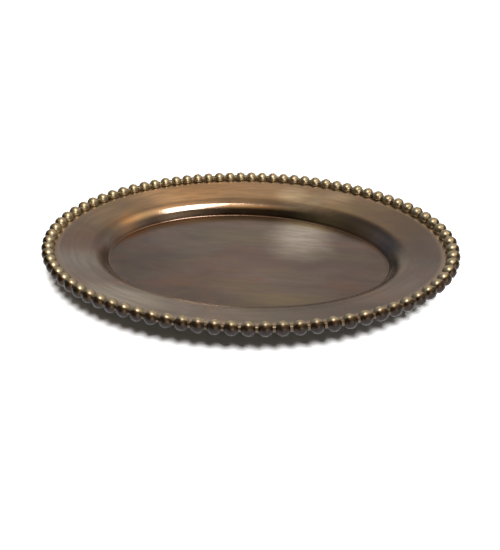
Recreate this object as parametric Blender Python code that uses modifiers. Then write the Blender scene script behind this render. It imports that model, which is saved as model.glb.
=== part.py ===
"""An oval metal tray with a ball-beaded edge: a pressed dish and the two half rings of the bead border.

The dish is one sheet: a flat well, a wall that rises from it, and a wide flange that climbs gently to the edge.
The border is a core wire that swells into a ball at every bead. It is made in two equal halves, which meet in a gap
between two beads at the middle of each long side. A slot along the inside of the border holds the edge of the dish.

Metres, +Z up. The origin is at the centre of the face that the tray stands on. X is the long axis.
"""

from math import acos, cos, pi, radians, sin, tan

import bmesh
import bpy
import numpy as np
from mathutils import Matrix, Vector

# Overall size, beads included: 15 by 11 inches.
INCH = 0.0254
LENGTH = 15 * INCH
WIDTH = 11 * INCH

# The border.
BEADS = 82
BEAD_RADIUS = 0.00575
CORE_RADIUS = 0.0025
BEAD_CENTRE_HEIGHT = 0.0249

# The dish. Its edge lies under the line through the bead centres, and the core of the border rests on it. Insets are
# measured inwards from that line, along the axes of the oval.
SHEET = 0.0020
EDGE_DROP = 0.0020  # from the bead centres down to the top of the sheet's edge
FLANGE_START_INSET = 0.0085
FLANGE_SLOPE = radians(13.5)
WALL_SLOPE = radians(52)
FOOT_CORNER_INSET = 0.0510
EDGE_BEND_RADIUS = 0.012
SHOULDER_RADIUS = 0.020
FOOT_RADIUS = 0.006

# Joints between pieces.
GAP = 0.0003
SLOT_END_INSET = 0.0080  # just past the inner side of the beads

# Fineness of the solids.
OVAL_SEGMENTS = 96
RING_ANGLES = [radians(a) for a in (-36, 0, 36)]  # of the rings on a bead, from the middle of the ball

HALF_LENGTH = LENGTH / 2 - BEAD_RADIUS  # half axes of the line through the bead centres
HALF_WIDTH = WIDTH / 2 - BEAD_RADIUS


def clear_scene():
    """Removes every object, so that only the tray is left."""
    for obj in list(bpy.data.objects):
        bpy.data.objects.remove(obj, do_unlink=True)


def new_collection(name):
    collection = bpy.data.collections.new(name)
    bpy.context.scene.collection.children.link(collection)
    return collection


def metal(name, colour, roughness):
    material = bpy.data.materials.new(name)
    material.use_nodes = True
    shader = material.node_tree.nodes["Principled BSDF"]
    shader.inputs["Base Color"].default_value = (*colour, 1.0)
    shader.inputs["Metallic"].default_value = 1.0
    shader.inputs["Roughness"].default_value = roughness
    return material


def add_object(name, data, collection, material=None):
    obj = bpy.data.objects.new(name, data)
    collection.objects.link(obj)
    if material:
        data.materials.append(material)
    return obj


def rounded(corners, steps=3):
    """The points of a line through (inset, height, radius) corners, with an arc of that radius at each inner one."""
    points = [Vector(corners[0][:2])]
    for before, corner, after in zip(corners, corners[1:], corners[2:]):
        middle, radius = Vector(corner[:2]), corner[2]
        back = (Vector(before[:2]) - middle).normalized()
        ahead = (Vector(after[:2]) - middle).normalized()
        half_angle = back.angle(ahead) / 2
        centre = middle + (back + ahead).normalized() * radius / sin(half_angle)
        start = middle + back * radius / tan(half_angle) - centre
        turn = start.angle_signed(middle + ahead * radius / tan(half_angle) - centre)
        for step in range(steps + 1):
            # angle_signed counts clockwise turns as positive
            points.append(centre + Matrix.Rotation(-turn * step / steps, 2) @ start)
    points.append(Vector(corners[-1][:2]))
    return points


def dish_profile():
    """(inset, height) points of the dish's upper face, from its edge to the rim of its flat well."""
    edge_height = BEAD_CENTRE_HEIGHT - EDGE_DROP
    # The shoulder's corner is where the line of the flange meets the line of the wall.
    rise = edge_height - SHEET
    run = FOOT_CORNER_INSET - FLANGE_START_INSET
    wall_run = (rise - run * tan(FLANGE_SLOPE)) / (tan(WALL_SLOPE) - tan(FLANGE_SLOPE))
    shoulder = (FOOT_CORNER_INSET - wall_run, SHEET + wall_run * tan(WALL_SLOPE), SHOULDER_RADIUS)
    well_rim_inset = FOOT_CORNER_INSET + FOOT_RADIUS * tan(WALL_SLOPE / 2)
    return rounded([
        (0.0, edge_height),
        (FLANGE_START_INSET, edge_height, EDGE_BEND_RADIUS),
        shoulder,
        (FOOT_CORNER_INSET, SHEET, FOOT_RADIUS),
        (well_rim_inset, SHEET),
    ])[:-1]


def oval_ring(bm, inset, height):
    """The edges of an oval that lies the inset inside the line of the beads."""
    place = Matrix.Translation((0, 0, height)) @ Matrix.Diagonal((HALF_LENGTH - inset, HALF_WIDTH - inset, 1, 1))
    verts = bmesh.ops.create_circle(bm, segments=OVAL_SEGMENTS, radius=1, matrix=place)["verts"]
    return list({edge for vert in verts for edge in vert.link_edges})


def loft(bm, rings):
    for outer, inner in zip(rings, rings[1:]):
        bmesh.ops.bridge_loops(bm, edges=outer + inner)


def upward_mesh(bm, name):
    """The mesh of a sheet whose faces all look up."""
    bmesh.ops.recalc_face_normals(bm, faces=bm.faces)
    if sum(face.normal.z for face in bm.faces) < 0:
        bmesh.ops.reverse_faces(bm, faces=bm.faces)
    mesh = bpy.data.meshes.new(name)
    bm.to_mesh(mesh)
    bm.free()
    return mesh


def thicken(obj, thickness):
    """Makes a sheet a solid, by thickening it downwards."""
    sheet = obj.modifiers.new("sheet", "SOLIDIFY")
    sheet.thickness = thickness
    sheet.offset = -1
    sheet.use_even_offset = True


def make_dish(collection, material):
    """The upper face as a loft of ovals with the flat well across the last one, thickened downwards."""
    bm = bmesh.new()
    rings = [oval_ring(bm, *point) for point in dish_profile()]
    loft(bm, rings)
    bmesh.ops.contextual_create(bm, geom=rings[-1])
    mesh = upward_mesh(bm, "dish")
    mesh.shade_smooth()
    mesh.set_sharp_from_angle(angle=radians(40))
    thicken(add_object("dish", mesh, collection, material), SHEET)


def make_slot_cutter(collection):
    """A flat oval band as thick as the slot that holds the dish's edge."""
    top = BEAD_CENTRE_HEIGHT - EDGE_DROP + GAP
    bm = bmesh.new()
    loft(bm, [oval_ring(bm, inset, top) for inset in (-GAP, SLOT_END_INSET)])
    cutter = add_object("slot_cutter", upward_mesh(bm, "slot_cutter"), collection)
    thicken(cutter, SHEET + 2 * GAP)
    cutter.hide_render = True
    cutter.display_type = "WIRE"
    return cutter


def bead_line():
    """(points, arc): a fine walk round the line of the bead centres from the front, and the length walked."""
    turn = np.linspace(-pi / 2, 3 * pi / 2, 7201)
    points = np.stack([HALF_LENGTH * np.cos(turn), HALF_WIDTH * np.sin(turn)], axis=1)
    steps = np.hypot(*np.diff(points, axis=0).T)
    return points, np.concatenate([[0], np.cumsum(steps)])


def border_stations(first_bead):
    """(x, y, radius) along half of the border, ring by ring, from one end of its core to the other."""
    points, arc = bead_line()
    pitch = arc[-1] / BEADS
    neck_angle = acos(CORE_RADIUS / BEAD_RADIUS)
    stations = [(first_bead * pitch + GAP / 2, CORE_RADIUS)]
    for bead in range(first_bead, first_bead + BEADS // 2):
        centre = (bead + 0.5) * pitch
        for angle in (-neck_angle, *RING_ANGLES, neck_angle):
            stations.append((centre + BEAD_RADIUS * sin(angle), BEAD_RADIUS * cos(angle)))
    stations.append(((first_bead + BEADS // 2) * pitch - GAP / 2, CORE_RADIUS))
    walked, radii = np.array(stations).T
    x, y = (np.interp(walked, arc, points[:, k]) for k in (0, 1))
    return zip(x, y, radii)


def make_border_half(name, first_bead, collection, material):
    """Half of the border, as a wire whose radius swells into a ball at every bead, before its slot is cut."""
    stations = list(border_stations(first_bead))
    curve = bpy.data.curves.new(name, "CURVE")
    curve.dimensions = "3D"
    curve.bevel_depth = 1.0  # the radius of each point is then the radius of the wire there
    curve.bevel_resolution = 2
    curve.use_fill_caps = True
    curve.twist_mode = "Z_UP"
    spline = curve.splines.new("POLY")
    spline.points.add(len(stations) - 1)
    for point, (x, y, radius) in zip(spline.points, stations):
        point.co = (x, y, BEAD_CENTRE_HEIGHT, 1)
        point.radius = radius
    wire = add_object(name + "_wire", curve, collection)
    bpy.context.view_layer.update()
    graph = bpy.context.evaluated_depsgraph_get()
    mesh = bpy.data.meshes.new_from_object(wire.evaluated_get(graph))
    bpy.data.objects.remove(wire)
    bm = bmesh.new()
    bm.from_mesh(mesh)
    bmesh.ops.remove_doubles(bm, verts=bm.verts, dist=1e-6)
    bmesh.ops.recalc_face_normals(bm, faces=bm.faces)
    bm.to_mesh(mesh)
    bm.free()
    mesh.name = name
    mesh.shade_smooth()
    return add_object(name, mesh, collection, material)


def cut_slot(half, cutter):
    cut = half.modifiers.new("edge_slot", "BOOLEAN")
    cut.operation = "DIFFERENCE"
    cut.object = cutter


def main():
    clear_scene()
    tray = new_collection("beaded_oval_tray")
    cutters = new_collection("cutters")
    patina = metal("brown_patina", (0.235, 0.165, 0.115), 0.32)
    rubbed = metal("rubbed_bronze", (0.36, 0.24, 0.13), 0.22)
    make_dish(tray, patina)
    cutter = make_slot_cutter(cutters)
    for name, first_bead in (("bead_border_right", 0), ("bead_border_left", BEADS // 2)):
        cut_slot(make_border_half(name, first_bead, tray, rubbed), cutter)


main()
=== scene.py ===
"""The looks of the beaded oval tray: a fine dish and ball border with an antique bronze-brown patina."""

from math import acos, cos, pi, radians, sin, tan

import bmesh
import bpy
import numpy as np
from mathutils import Matrix, Vector, noise


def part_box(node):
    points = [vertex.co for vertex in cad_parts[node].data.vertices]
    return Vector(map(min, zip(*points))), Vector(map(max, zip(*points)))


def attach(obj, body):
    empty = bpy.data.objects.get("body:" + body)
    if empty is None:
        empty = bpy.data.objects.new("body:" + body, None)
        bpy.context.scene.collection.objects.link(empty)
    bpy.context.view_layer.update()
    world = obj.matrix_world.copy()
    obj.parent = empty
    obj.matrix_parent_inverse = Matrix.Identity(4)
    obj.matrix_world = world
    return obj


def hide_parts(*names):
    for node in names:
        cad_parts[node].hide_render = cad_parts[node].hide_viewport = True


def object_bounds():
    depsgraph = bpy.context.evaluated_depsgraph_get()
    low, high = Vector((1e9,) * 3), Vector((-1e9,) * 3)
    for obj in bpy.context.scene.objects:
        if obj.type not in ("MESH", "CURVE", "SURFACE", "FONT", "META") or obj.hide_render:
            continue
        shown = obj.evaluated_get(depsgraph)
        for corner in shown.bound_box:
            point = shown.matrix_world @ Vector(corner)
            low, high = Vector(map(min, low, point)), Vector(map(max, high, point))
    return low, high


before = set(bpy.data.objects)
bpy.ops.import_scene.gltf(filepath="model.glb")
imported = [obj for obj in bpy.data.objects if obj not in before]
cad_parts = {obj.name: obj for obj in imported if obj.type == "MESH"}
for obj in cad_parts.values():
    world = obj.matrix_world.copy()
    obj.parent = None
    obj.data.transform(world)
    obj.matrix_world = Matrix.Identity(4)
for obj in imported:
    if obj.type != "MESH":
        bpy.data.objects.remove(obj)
cad_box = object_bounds()

# ---------------------------------------------------------------- sizes, in metres

BORDERS = ("bead_border_right", "bead_border_left")
BEADS = 82
BEAD_RADIUS = 0.00575
BEAD_SHORTFALL = 0.010  # how much smaller than that a ball may be, as a part of its radius
CORE_RADIUS = 0.0025
SHEET = 0.0020
GAP = 0.0003
SOFT_EDGE = 0.0004

# The halves of the border meet between two balls at the front and at the back, so the frame's box is a
# little narrower than the line round the outside of the balls, which is given here.
WIDTH_OVER_BALLS = 0.2794
LOW, HIGH = cad_box
HALF_LENGTH = (HIGH[0] - LOW[0]) / 2 - BEAD_RADIUS  # half axes of the oval through the bead centres
HALF_WIDTH = WIDTH_OVER_BALLS / 2 - BEAD_RADIUS
BEAD_CENTRE_HEIGHT = HIGH[2] - BEAD_RADIUS
EDGE_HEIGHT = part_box("dish")[1][2]  # top of the sheet at its edge

# The dish's section, as insets from the oval through the bead centres.
FLANGE_START_INSET = 0.0085
FOOT_CORNER_INSET = 0.0510
FLANGE_SLOPE = radians(13.5)
WALL_SLOPE = radians(55)
EDGE_BEND_RADIUS = 0.012
SHOULDER_RADIUS = 0.022
FOOT_RADIUS = 0.002
SLOT_END_INSET = 0.0080  # of the slot in the balls that holds the edge of the dish

# Fineness.
DISH_SEGMENTS = 360
ARC_STEPS = 10
STRAIGHT_STEPS = 8
WELL_RINGS = 14
BEAD_RINGS = 13
BEAD_SIDES = 24
WALK_STEPS = 28800

TURNS = [2 * pi * k / DISH_SEGMENTS for k in range(DISH_SEGMENTS)]
UP = Vector((0, 0, 1))


# ---------------------------------------------------------------- geometry

def mesh_object(name, bm):
    mesh = bpy.data.meshes.new(name)
    bm.to_mesh(mesh)
    bm.free()
    obj = bpy.data.objects.new(name, mesh)
    bpy.context.scene.collection.objects.link(obj)
    return obj


def join_rings(bm, rings):
    """Lays a band of faces between each ring of vertices and the next."""
    for first, second in zip(rings, rings[1:]):
        for k in range(len(first)):
            n = (k + 1) % len(first)
            bm.faces.new((first[k], first[n], second[n], second[k]))


def make_smooth(bm):
    for face in bm.faces:
        face.smooth = True


def rounded(corners):
    """The points of a line through corners, (inset, height) at the ends and (inset, height, radius) between
    them, where an arc of that radius rounds the corner."""
    arcs = [[Vector(corners[0])]]
    for before, corner, after in zip(corners, corners[1:], corners[2:]):
        middle, radius = Vector(corner[:2]), corner[2]
        back = (Vector(before[:2]) - middle).normalized()
        ahead = (Vector(after[:2]) - middle).normalized()
        half_angle = back.angle(ahead) / 2
        centre = middle + (back + ahead).normalized() * radius / sin(half_angle)
        start = middle + back * radius / tan(half_angle) - centre
        turn = start.angle_signed(middle + ahead * radius / tan(half_angle) - centre)
        spin = [Matrix.Rotation(-turn * k / ARC_STEPS, 2) for k in range(ARC_STEPS + 1)]
        arcs.append([centre + step @ start for step in spin])
    arcs.append([Vector(corners[-1])])
    points = list(arcs[0])
    for arc in arcs[1:]:
        start = points[-1]
        points += [start.lerp(arc[0], k / STRAIGHT_STEPS) for k in range(1, STRAIGHT_STEPS)]
        points += arc
    return points


def dish_profile():
    """(inset, height) points of the dish's upper face, from its edge to the rim of its well."""
    rise = EDGE_HEIGHT - SHEET
    run = FOOT_CORNER_INSET - FLANGE_START_INSET
    wall_run = (rise - run * tan(FLANGE_SLOPE)) / (tan(WALL_SLOPE) - tan(FLANGE_SLOPE))
    points = rounded([
        (0.0, EDGE_HEIGHT),
        (FLANGE_START_INSET, EDGE_HEIGHT, EDGE_BEND_RADIUS),
        (FOOT_CORNER_INSET - wall_run, SHEET + wall_run * tan(WALL_SLOPE), SHOULDER_RADIUS),
        (FOOT_CORNER_INSET, SHEET, FOOT_RADIUS),
        (HALF_WIDTH, SHEET),
    ])
    return points[:-STRAIGHT_STEPS]  # the well's flat floor is left to dish_ovals


def dish_ovals():
    """(half length, half width, height) of the ovals of the dish's upper face, from its edge inwards."""
    ovals = [(HALF_LENGTH - inset, HALF_WIDTH - inset, height) for inset, height in dish_profile()]
    long, wide, floor = ovals[-1]
    for ring in range(WELL_RINGS - 1, 0, -1):
        ovals.append((long * ring / WELL_RINGS, wide * ring / WELL_RINGS, floor))
    return ovals


def make_dish():
    """One sheet: the upper face is lofted over ovals, and is given its thickness downwards."""
    ovals = dish_ovals()
    bm = bmesh.new()
    around = bm.verts.layers.float_vector.new("around")
    rings = []
    for half_x, half_y, height in ovals:
        ring = []
        for turn in TURNS:
            vert = bm.verts.new((half_x * cos(turn), half_y * sin(turn), height))
            vert[around] = (cos(turn), sin(turn), half_y / HALF_WIDTH)
            ring.append(vert)
        rings.append(ring)
    join_rings(bm, rings)
    middle = bm.verts.new((0, 0, ovals[-1][2]))
    inmost = rings[-1]
    for k in range(DISH_SEGMENTS):
        bm.faces.new((inmost[k], inmost[(k + 1) % DISH_SEGMENTS], middle))
    make_smooth(bm)
    dish = mesh_object("tray_dish", bm)
    sheet = dish.modifiers.new("sheet", "SOLIDIFY")
    sheet.thickness = SHEET
    sheet.offset = -1
    sheet.use_even_offset = True
    rim = dish.modifiers.new("soft_edge", "BEVEL")
    rim.width = SOFT_EDGE
    rim.segments = 2
    rim.limit_method = "ANGLE"
    rim.angle_limit = radians(50)
    return dish


def make_slot_band():
    """A flat oval band, as thick as the slot in the balls that holds the edge of the dish."""
    top = EDGE_HEIGHT + GAP
    bottom = EDGE_HEIGHT - SHEET - GAP
    bm = bmesh.new()
    rings = []
    for inset, height in ((-GAP, bottom), (-GAP, top), (SLOT_END_INSET, top), (SLOT_END_INSET, bottom)):
        long, wide = HALF_LENGTH - inset, HALF_WIDTH - inset
        rings.append([bm.verts.new((long * cos(turn), wide * sin(turn), height)) for turn in TURNS])
    join_rings(bm, rings + rings[:1])
    bmesh.ops.recalc_face_normals(bm, faces=bm.faces)
    return mesh_object("slot_band", bm)


def cut_away(obj, cutter):
    """Cuts the cutter's shape out of the object for good."""
    cut = obj.modifiers.new("slot", "BOOLEAN")
    cut.operation = "DIFFERENCE"
    cut.object = cutter
    bpy.context.view_layer.update()
    graph = bpy.context.evaluated_depsgraph_get()
    mesh = bpy.data.meshes.new_from_object(obj.evaluated_get(graph))
    obj.modifiers.clear()
    obj.data = mesh


def bead_line():
    """(points, arc): a fine walk round the oval through the bead centres from the front, and the length
    walked at each point."""
    turn = np.linspace(-pi / 2, 3 * pi / 2, WALK_STEPS + 1)
    points = np.stack([HALF_LENGTH * np.cos(turn), HALF_WIDTH * np.sin(turn)], axis=1)
    steps = np.hypot(*np.diff(points, axis=0).T)
    return points, np.concatenate([[0], np.cumsum(steps)])


def bead_size(bead):
    """A ball's radius, which differs a little from ball to ball in a fixed pattern."""
    pattern = 0.5 + 0.5 * noise.noise((bead * 7.3, 1.7, 0.4))
    return BEAD_RADIUS * (1 - BEAD_SHORTFALL * pattern)


def border_stations(first_bead, pitch):
    """(length walked, radius, crevice) of each ring of half of the border. The crevice is 0 at a ball's
    widest, 0.9 where it meets its necks and 1 at the ends of the wire."""
    end_bead = first_bead + BEADS // 2
    stations = [(first_bead * pitch + GAP / 2, CORE_RADIUS, 1.0)]
    for bead in range(first_bead, end_bead):
        radius = bead_size(bead)
        centre = (bead + 0.5) * pitch
        neck_angle = acos(CORE_RADIUS / radius)
        for ring in range(BEAD_RINGS):
            angle = neck_angle * (2 * ring / (BEAD_RINGS - 1) - 1)
            stations.append((centre + radius * sin(angle), radius * cos(angle), abs(sin(angle))))
    stations.append((end_bead * pitch - GAP / 2, CORE_RADIUS, 1.0))
    return stations


def make_border(name, first_bead, band):
    """Half of the border: one wire, swept along the oval, that swells into a ball at every bead."""
    points, arc = bead_line()
    bm = bmesh.new()
    crevice = bm.verts.layers.float.new("crevice")
    outward = bm.verts.layers.float_vector.new("outward")
    rings = []
    for walked, radius, hidden in border_stations(first_bead, arc[-1] / BEADS):
        x, y = np.interp(walked, arc, points[:, 0]), np.interp(walked, arc, points[:, 1])
        here = Vector((x, y, BEAD_CENTRE_HEIGHT))
        out = Vector((here.x / HALF_LENGTH ** 2, here.y / HALF_WIDTH ** 2, 0)).normalized()
        ring = []
        for side in range(BEAD_SIDES):
            turn = 2 * pi * (side + 0.5) / BEAD_SIDES
            vert = bm.verts.new(here + (out * cos(turn) + UP * sin(turn)) * radius)
            vert[crevice] = hidden
            vert[outward] = out
            ring.append(vert)
        rings.append(ring)
    join_rings(bm, rings)
    bm.faces.new(rings[0])
    bm.faces.new(list(reversed(rings[-1])))
    bmesh.ops.recalc_face_normals(bm, faces=bm.faces)
    make_smooth(bm)
    border = mesh_object(name, bm)
    cut_away(border, band)
    border.data.set_sharp_from_angle(angle=radians(35))
    return border


# ---------------------------------------------------------------- materials

def rgb(red, green, blue):
    return (red, green, blue, 1.0)


# The patina of the dish, what covers it, and the light and shade painted on it.
DEEP_BROWN, LIGHT_BROWN = rgb(0.206, 0.165, 0.142), rgb(0.312, 0.252, 0.212)
RED_CLOUD, OLIVE_CLOUD = rgb(0.330, 0.200, 0.145), rgb(0.285, 0.245, 0.160)
WIPE, LINE = rgb(0.190, 0.155, 0.135), rgb(0.160, 0.130, 0.110)
RUBBED_AND_REFLECTING_BRIM = rgb(0.620, 0.490, 0.370)
CREASE_SHADE = rgb(0.110, 0.060, 0.042)
UNDERSIDE_SHADE = rgb(0.050, 0.044, 0.040)

# Patches on the patina: centre (x, y), half widths, colour, strength. Later ones lie over earlier ones.
# The rust and olive ones are stains; the pale ones are painted reflections, the gold and orange ones painted
# highlights and the dark ones painted shade.
PALE, GREY, GOLD = rgb(0.82, 0.75, 0.60), rgb(0.46, 0.41, 0.34), rgb(0.74, 0.50, 0.32)
DARK, ORANGE = rgb(0.17, 0.14, 0.12), rgb(0.45, 0.26, 0.13)
RUST, OLIVE = rgb(0.33, 0.20, 0.14), rgb(0.34, 0.29, 0.17)
PATCHES_STAINS_AND_PAINTED_LIGHT = (
    # The two gold patches, at the back left and at the back of the brim, are painted highlight.
    ((-0.105, 0.094), (0.060, 0.030), GOLD, 0.80),
    ((-0.020, 0.112), (0.070, 0.022), GOLD, 0.50),
    ((-0.150, -0.055), (0.030, 0.020), GREY, 0.60),
    ((-0.080, -0.102), (0.045, 0.016), GREY, 0.80),
    # A pale patch on the floor of the well: painted reflection.
    ((0.048, 0.052), (0.030, 0.040), PALE, 0.95),
    # These four dark patches are painted shade.
    ((-0.094, -0.002), (0.050, 0.036), DARK, 0.45),
    ((0.128, 0.064), (0.036, 0.028), DARK, 0.55),
    ((0.160, 0.010), (0.034, 0.075), DARK, 0.90),
    ((0.090, -0.100), (0.090, 0.034), DARK, 0.80),
    ((0.010, -0.010), (0.040, 0.030), RUST, 0.30),
    # These two pale patches on the back of the brim are painted reflections.
    ((0.032, 0.108), (0.014, 0.012), PALE, 0.45),
    ((0.080, 0.101), (0.020, 0.010), PALE, 0.30),
    # The two orange patches, on the wall and brim at the back left, are painted highlight.
    ((-0.131, 0.036), (0.012, 0.018), ORANGE, 0.80),
    ((-0.085, 0.105), (0.050, 0.016), ORANGE, 0.45),
    ((-0.160, -0.020), (0.014, 0.022), RUST, 0.60),
    ((0.095, -0.036), (0.018, 0.008), RUST, 0.60),
    ((0.042, -0.062), (0.034, 0.009), OLIVE, 0.70),
)

# Where parts of the dish start and end, across its width, from 0 at its middle to 1 at the oval through the
# bead centres.
WELL_ENDS = (0.56, 0.62)
CREASE_STARTS, CREASE_ENDS = (0.600, 0.612), (0.626, 0.640)
WALL_STARTS, WALL_ENDS = (0.60, 0.64), (0.76, 0.82)
RUBBED_AND_REFLECTING_STARTS = (0.91, 0.96)
EDGE_STARTS = (0.97, 0.99)

# The balls.
BALL_SHADE, BALL_BROWN = rgb(0.042, 0.036, 0.036), rgb(0.080, 0.055, 0.036)
BALL_GOLD_AND_HIGHLIGHT, BALL_SPECKS = rgb(0.520, 0.450, 0.310), rgb(0.110, 0.080, 0.055)
BALL_NECK = rgb(0.150, 0.116, 0.082)
NECK_STARTS = (0.85, 0.905)  # by the crevice of border_stations
RUB_AND_HIGHLIGHT_LEAN = 1.6  # how far the gold side, partly rubbed and partly painted highlight, leans from the top towards the dish


class Graph:
    """A short way to write the nodes of a material or of the world."""

    def __init__(self, tree):
        self.tree = tree

    def node(self, kind, inputs=None, **settings):
        node = self.tree.nodes.new(kind)
        for key, value in settings.items():
            setattr(node, key, value)
        for key, value in (inputs or {}).items():
            if isinstance(value, bpy.types.NodeSocket):
                self.tree.links.new(value, node.inputs[key])
            else:
                node.inputs[key].default_value = value
        return node

    def attribute(self, name):
        return self.node("ShaderNodeAttribute", attribute_name=name).outputs

    def split(self, vector):
        return self.node("ShaderNodeSeparateXYZ", {0: vector}).outputs

    def vector_math(self, operation, first, second=(0, 0, 0)):
        return self.node("ShaderNodeVectorMath", {0: first, 1: second}, operation=operation).outputs

    def stretch(self, vector, factors):
        return self.vector_math("MULTIPLY", vector, factors)["Vector"]

    def shift(self, vector, offset):
        return self.vector_math("ADD", vector, offset)["Vector"]

    def noise(self, vector, scales, detail, distortion=0.0, roughness=0.6, offset=None):
        """Noise with its own scale along each axis, and an offset that keeps it unlike other noise."""
        vector = self.stretch(vector, scales)
        if offset:
            vector = self.shift(vector, offset)
        inputs = {"Vector": vector, "Scale": 1.0, "Detail": detail}
        inputs.update({"Roughness": roughness, "Distortion": distortion})
        return self.node("ShaderNodeTexNoise", inputs).outputs["Fac"]

    def ramp(self, value, low, high, to_low=0.0, to_high=1.0):
        """A smooth step from to_low, where the value is low, to to_high, where it is high."""
        inputs = {"Value": value, "From Min": low, "From Max": high, "To Min": to_low, "To Max": to_high}
        return self.node("ShaderNodeMapRange", inputs, interpolation_type="SMOOTHSTEP").outputs["Result"]

    def math(self, operation, first, second):
        return self.node("ShaderNodeMath", {0: first, 1: second}, operation=operation).outputs["Value"]

    def add(self, *values):
        total = values[0]
        for value in values[1:]:
            total = self.math("ADD", total, value)
        return total

    def between(self, value, starts, ends):
        """1 where the value is past its start and short of its end, and 0 elsewhere."""
        return self.math("MULTIPLY", self.ramp(value, *starts), self.ramp(value, *ends, 1.0, 0.0))

    def mix(self, amount, first, second):
        """From the first colour to the second."""
        inputs = {"Factor": amount, 6: first, 7: second}
        return self.node("ShaderNodeMix", inputs, data_type="RGBA").outputs[2]

    def blend(self, amount, first, second):
        """From the first number to the second."""
        return self.node("ShaderNodeMix", {"Factor": amount, "A": first, "B": second}).outputs["Result"]

    def bump(self, height, distance, strength, normal=None):
        inputs = {"Height": height, "Distance": distance, "Strength": strength}
        if normal:
            inputs["Normal"] = normal
        return self.node("ShaderNodeBump", inputs).outputs["Normal"]


def new_metal(name):
    material = bpy.data.materials.new(name)
    material.use_nodes = True
    shader = material.node_tree.nodes["Principled BSDF"]
    shader.inputs["Metallic"].default_value = 1.0
    return material, Graph(material.node_tree), shader


def finish_metal(graph, shader, colour, rough, normal):
    for name, value in (("Base Color", colour), ("Roughness", rough), ("Normal", normal)):
        graph.tree.links.new(value, shader.inputs[name])


def brush_marks(graph, place, around, outwards):
    """(wipes, lines): broad and fine marks, along the tray on its flat well and round it elsewhere."""
    on_well = graph.ramp(outwards, *WELL_ENDS, 1.0, 0.0)
    ring_wipes = graph.noise(around, (4, 3, 34), 4.0)
    ring_lines = graph.noise(around, (11, 8, 210), 3.0)
    wipes = graph.blend(on_well, ring_wipes, graph.noise(place, (22, 240, 240), 4.0))
    lines = graph.blend(on_well, ring_lines, graph.noise(place, (60, 1500, 1500), 3.0))
    return wipes, lines


def clouded_brown(graph, place, clouds):
    """The patina itself: deep to light brown, with redder and greener clouds."""
    red_clouds = graph.noise(place, (14, 34, 34), 4.0, 0.6, offset=(3.1, 7.7, 1.3))
    olive_clouds = graph.noise(place, (11, 28, 28), 3.0, 0.5, offset=(9.2, 2.4, 5.5))
    colour = graph.mix(graph.ramp(clouds, 0.35, 0.68), DEEP_BROWN, LIGHT_BROWN)
    colour = graph.mix(graph.ramp(red_clouds, 0.46, 0.66, 0.0, 0.7), colour, RED_CLOUD)
    return graph.mix(graph.ramp(olive_clouds, 0.48, 0.68, 0.0, 0.7), colour, OLIVE_CLOUD)


def with_patches_and_painted_light(graph, colour, place, clouds):
    """The colour with the patches laid over it: stains, painted reflections, painted highlights and painted
    shade. The clouds make their outlines ragged.
    """
    ragged = graph.ramp(clouds, 0.3, 0.7, -0.3, 0.3)
    for (x, y), (half_x, half_y), patch_colour, strength in PATCHES_STAINS_AND_PAINTED_LIGHT:
        offset = graph.stretch(graph.shift(place, (-x, -y, 0)), (1 / half_x, 1 / half_y, 0))
        distance = graph.add(graph.vector_math("LENGTH", offset)["Value"], ragged)
        colour = graph.mix(graph.ramp(distance, 0.1, 1.5, strength, 0.0), colour, patch_colour)
    return colour


def patina_metal():
    """The dish: a clouded brown patina with patches: stains, painted reflections, painted highlights and
    painted shade. It is brushed all over, and bright at the edge of the brim, partly rubbed and partly a
    painted reflection. The crease round the well is darkened with painted shade, mostly at the back. The
    underside and the outer side of the edge are painted dark, as painted shade."""
    material, graph, shader = new_metal("brown_patina_brushed")
    coordinates = graph.node("ShaderNodeTexCoord").outputs
    place = coordinates["Object"]
    up = graph.split(coordinates["Normal"])["Z"]
    around = graph.attribute("around")["Vector"]
    outwards, to_back = graph.split(around)["Z"], graph.split(around)["Y"]
    clouds = graph.noise(place, (10, 20, 20), 4.0, 0.4)
    wipes, lines = brush_marks(graph, place, around, outwards)
    rubbed_and_reflecting_edge = graph.ramp(outwards, *RUBBED_AND_REFLECTING_STARTS)
    underside = graph.ramp(up, -0.05, -0.30)

    colour = with_patches_and_painted_light(graph, clouded_brown(graph, place, clouds), place, clouds)
    colour = graph.mix(graph.ramp(wipes, 0.32, 0.68, 0.0, 0.40), colour, WIPE)
    colour = graph.mix(graph.ramp(lines, 0.35, 0.65, 0.0, 0.20), colour, LINE)
    # A bright band at the edge of the brim: partly rubbed wear, partly a painted reflection of the balls'
    # glints.
    colour = graph.mix(graph.ramp(rubbed_and_reflecting_edge, 0.0, 1.0, 0.0, 0.70), colour, RUBBED_AND_REFLECTING_BRIM)
    # Painted shade in the crease round the well, stronger at the back.
    crease_shade = graph.between(outwards, CREASE_STARTS, CREASE_ENDS)
    crease_shade = graph.math("MULTIPLY", crease_shade, graph.ramp(to_back, -0.3, 0.4, 0.1, 0.65))
    colour = graph.mix(crease_shade, colour, CREASE_SHADE)
    # The underside and the outer side of the edge are painted dark: painted shade.
    outer_side = graph.math("MULTIPLY", graph.ramp(up, 0.6, 0.3), graph.ramp(outwards, *EDGE_STARTS))
    colour = graph.mix(graph.math("MAXIMUM", underside, outer_side), colour, UNDERSIDE_SHADE)

    # The wall is polished at the back and duller at its ends and at the front.
    on_wall = graph.between(outwards, WALL_STARTS, WALL_ENDS)
    rough = graph.add(
        graph.ramp(clouds, 0.3, 0.7, 0.22, 0.17),
        graph.ramp(wipes, 0.3, 0.7, -0.02, 0.03),
        graph.ramp(underside, 0.0, 1.0, 0.0, 0.2),
        graph.ramp(rubbed_and_reflecting_edge, 0.0, 1.0, 0.0, 0.12),
        graph.math("MULTIPLY", on_wall, graph.ramp(to_back, 0.1, 0.6, 0.10, -0.07)),
    )
    swell = graph.bump(graph.noise(place, (30, 45, 45), 2.0, roughness=0.55), 0.002, 0.08)
    brushed = graph.bump(lines, 0.0002, 0.10, swell)
    finish_metal(graph, shader, colour, rough, brushed)
    return material


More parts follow.
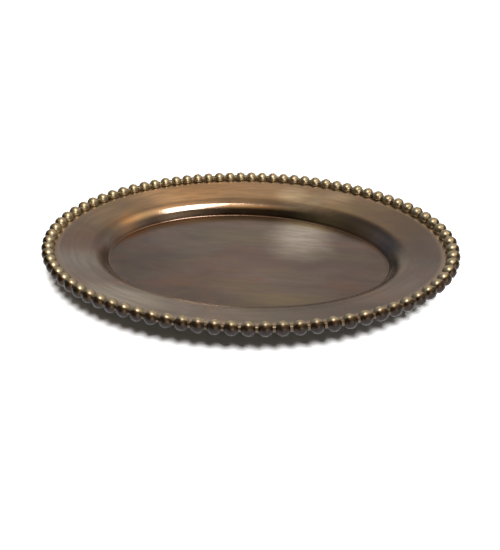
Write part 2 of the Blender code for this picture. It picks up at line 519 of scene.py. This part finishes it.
def bead_metal():
    """The balls: golden on top and towards the dish, partly where a cloth rubs them and partly a painted
    highlight, then brown, and painted shade on the outside and below. The necks between them keep some of
    the brown."""
    material, graph, shader = new_metal("bronze_balls_rubbed_and_painted_light")
    coordinates = graph.node("ShaderNodeTexCoord").outputs
    place = coordinates["Object"]
    crevice = graph.attribute("crevice")["Fac"]
    outward = graph.attribute("outward")["Vector"]
    rub_and_highlight_axis = graph.shift(graph.stretch(outward, (-RUB_AND_HIGHLIGHT_LEAN, -RUB_AND_HIGHLIGHT_LEAN, 0)), UP)
    clouds = graph.noise(place, (90, 90, 90), 4.0)
    specks = graph.noise(graph.shift(place, (2.2, 5.1, 0.7)), (420, 420, 420), 3.0)
    facing = graph.vector_math("DOT_PRODUCT", coordinates["Normal"], rub_and_highlight_axis)["Value"]
    facing = graph.add(facing, graph.ramp(clouds, 0.3, 0.7, -0.12, 0.12))

    # Painted shade low on the outside of the balls, and gold on top and towards the dish: rub and painted
    # highlight.
    colour = graph.mix(graph.ramp(facing, -1.30, -0.40), BALL_SHADE, BALL_BROWN)
    colour = graph.mix(graph.ramp(facing, 0.05, 0.70), colour, BALL_GOLD_AND_HIGHLIGHT)
    colour = graph.mix(graph.ramp(specks, 0.52, 0.75, 0.0, 0.35), colour, BALL_SPECKS)
    colour = graph.mix(graph.ramp(crevice, *NECK_STARTS, 0.0, 0.80), colour, BALL_NECK)
    rough = graph.add(graph.ramp(specks, 0.4, 0.7, 0.33, 0.44), graph.ramp(facing, -0.9, 0.0, 0.02, 0.0))
    dents = graph.bump(graph.noise(place, (260, 260, 260), 2.0, roughness=0.55), 0.0006, 0.12)
    finish_metal(graph, shader, colour, rough, dents)
    return material


# ---------------------------------------------------------------- the stage

FLOOR_HALF = 8.0
FLOOR_COLOUR = rgb(0.40, 0.40, 0.40)

CAMERA_AIM = Vector((0.0186, -0.0642, BEAD_CENTRE_HEIGHT))
CAMERA_DISTANCE = 0.4264
CAMERA_AZIMUTH = radians(12.25)
CAMERA_ELEVATION = radians(33.68)
CAMERA_ROLL = radians(-2.15)
CAMERA_LENS = 33.98

KEY_PLACE = Vector((0.034, -0.102, 0.466))
KEY_AIM = Vector((-0.070, 0.078, 0.011))  # a point on the wall, at the back
KEY_SIZE = (0.11, 0.22)
KEY_POWER = 0.90
SUN_FROM = Vector((0.298, -0.375, 0.877))
SUN_SPREAD = radians(17)
SUN_POWER = 11.0

# Soft lights of the room: azimuth clockwise from the back, elevation, narrowness, colour.
ROOM = (
    (-14, 52, 30, (0.66, 0.52, 0.32)),  # high at the back
    (185, 64, 55, (1.55, 1.00, 0.44)),  # high at the front
    (146, 18, 30, (4.60, 4.20, 3.50)),  # low at the front right
    (0, 3, 4, (0.18, 0.14, 0.10)),  # the far side of the room
    (-100, 40, 8, (0.20, 0.16, 0.10)),  # left
    (-60, 25, 8, (0.14, 0.18, 0.26)),  # back left, cool
    (-22, 8, 16, (0.54, 0.52, 0.46)),  # low at the back left
    (-6, 30, 16, (0.27, 0.27, 0.32)),  # back
    (75, 40, 8, (0.56, 0.52, 0.48)),  # right
    (30, 16, 16, (0.55, 0.53, 0.50)),  # low at the back right
    (100, 66, 20, (1.20, 0.83, 0.32)),  # high on the right, warm
    (55, 78, 10, (0.85, 0.66, 0.47)),  # overhead
)


def make_floor():
    bm = bmesh.new()
    bmesh.ops.create_grid(bm, x_segments=1, y_segments=1, size=FLOOR_HALF)
    floor = mesh_object("floor", bm)
    floor.location.z = -GAP
    material = bpy.data.materials.new("pale_floor")
    material.use_nodes = True
    shader = material.node_tree.nodes["Principled BSDF"]
    shader.inputs["Base Color"].default_value = FLOOR_COLOUR
    shader.inputs["Roughness"].default_value = 0.7
    shader.inputs["Specular IOR Level"].default_value = 0.2
    floor.data.materials.append(material)


def make_camera():
    data = bpy.data.cameras.new("camera")
    data.lens = CAMERA_LENS
    data.sensor_width = 36.0
    data.clip_start = 0.01
    camera = bpy.data.objects.new("camera", data)
    bpy.context.scene.collection.objects.link(camera)
    turn = Matrix.Rotation(CAMERA_AZIMUTH, 4, "Z") @ Matrix.Rotation(pi / 2 - CAMERA_ELEVATION, 4, "X")
    turn = turn @ Matrix.Rotation(CAMERA_ROLL, 4, "Z")
    back = turn.to_3x3() @ UP
    camera.matrix_world = Matrix.Translation(CAMERA_AIM + back * CAMERA_DISTANCE) @ turn
    bpy.context.scene.camera = camera


def new_light(name, kind, power, back):
    """A light that shines against the direction called back."""
    data = bpy.data.lights.new(name, kind)
    data.energy = power
    light = bpy.data.objects.new(name, data)
    bpy.context.scene.collection.objects.link(light)
    light.rotation_euler = back.to_track_quat("Z", "Y").to_euler()
    return light


def make_lights():
    """A panel that lights the wall at the back, and a sun for the floor and the tray's shadow on it."""
    key = new_light("key_panel", "AREA", KEY_POWER, KEY_PLACE - KEY_AIM)
    key.location = KEY_PLACE
    key.data.shape = "RECTANGLE"
    key.data.size, key.data.size_y = KEY_SIZE
    key.visible_diffuse = False
    sun = new_light("floor_light", "SUN", SUN_POWER, SUN_FROM)
    sun.data.angle = SUN_SPREAD
    sun.visible_glossy = False


def heading(azimuth, elevation):
    """A direction, by its angle clockwise from +Y and its height, in degrees."""
    azimuth, elevation = radians(azimuth), radians(elevation)
    return Vector((sin(azimuth) * cos(elevation), cos(azimuth) * cos(elevation), sin(elevation)))


def make_world():
    """A dim room with a few broad soft lights. The camera sees it as plain white."""
    world = bpy.data.worlds.new("studio")
    world.use_nodes = True
    bpy.context.scene.world = world
    graph = Graph(world.node_tree)
    direction = graph.node("ShaderNodeTexCoord").outputs["Generated"]
    total = (0.0, 0.0, 0.0)
    for azimuth, elevation, narrowness, colour in ROOM:
        facing = graph.vector_math("DOT_PRODUCT", direction, heading(azimuth, elevation))["Value"]
        strength = graph.math("POWER", graph.math("MAXIMUM", facing, 0.0), narrowness)
        glow = graph.node("ShaderNodeVectorMath", {0: colour, "Scale": strength}, operation="SCALE")
        total = graph.vector_math("ADD", total, glow.outputs["Vector"])["Vector"]
    camera_ray = graph.node("ShaderNodeLightPath").outputs["Is Camera Ray"]
    seen = graph.mix(camera_ray, total, rgb(1.0, 1.0, 1.0))
    graph.tree.links.new(seen, world.node_tree.nodes["Background"].inputs["Color"])


# ---------------------------------------------------------------- assembly

def main():
    dish = make_dish()
    dish.data.materials.append(patina_metal())
    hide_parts("dish")
    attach(dish, "root")

    balls = bead_metal()
    band = make_slot_band()
    for half, node in enumerate(BORDERS):
        border = make_border(node.replace("bead", "ball"), half * BEADS // 2, band)
        border.data.materials.append(balls)
        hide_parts(node)
        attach(border, "root")
    bpy.data.objects.remove(band)

    make_floor()
    make_camera()
    make_lights()
    make_world()
    bpy.context.scene.view_settings.view_transform = "Standard"


main()
